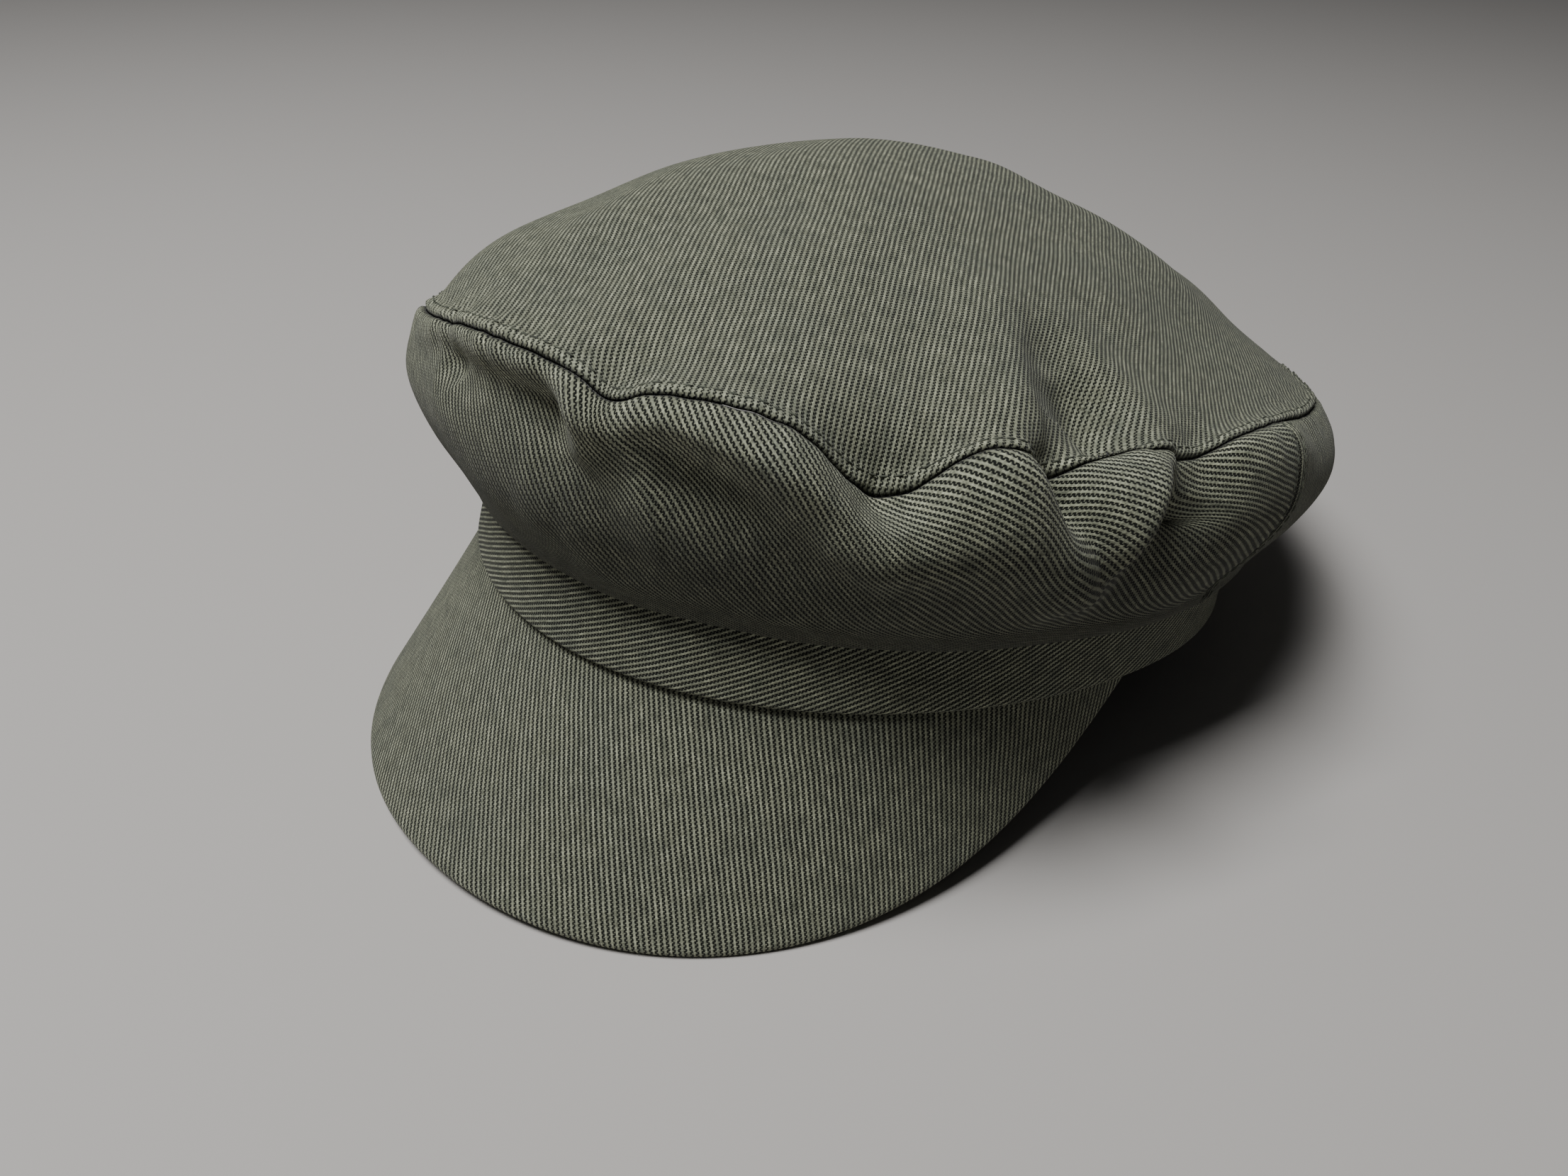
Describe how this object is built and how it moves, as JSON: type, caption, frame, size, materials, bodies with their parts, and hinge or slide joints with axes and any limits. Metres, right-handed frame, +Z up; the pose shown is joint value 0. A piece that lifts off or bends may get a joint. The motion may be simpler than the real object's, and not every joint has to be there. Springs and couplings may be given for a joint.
{
  "type": "denim cap",
  "caption": "Soft denim cap with a domed oval top, side panels that slump over a plain headband, and a stiff downturned peak.",
  "frame": {"origin": "middle of the bounding box, on the surface that the cap rests on", "axes": "+Z up, the peak points to -Y, the wearer's left is +X"},
  "size_m": [0.194, 0.2632, 0.1166],
  "materials": {
    "crown_denim": "faded grey-green denim twill, matt",
    "side_denim": "faded grey-green denim twill, matt",
    "band_denim": "faded grey-green denim twill, matt",
    "peak_denim": "faded grey-green denim twill over a stiff board, matt"
  },
  "bodies": {
    "root": {"crown_top": "crown_denim", "side_front": "side_denim", "side_back": "side_denim", "headband": "band_denim", "peak": "peak_denim"}
  },
  "joints": []
}
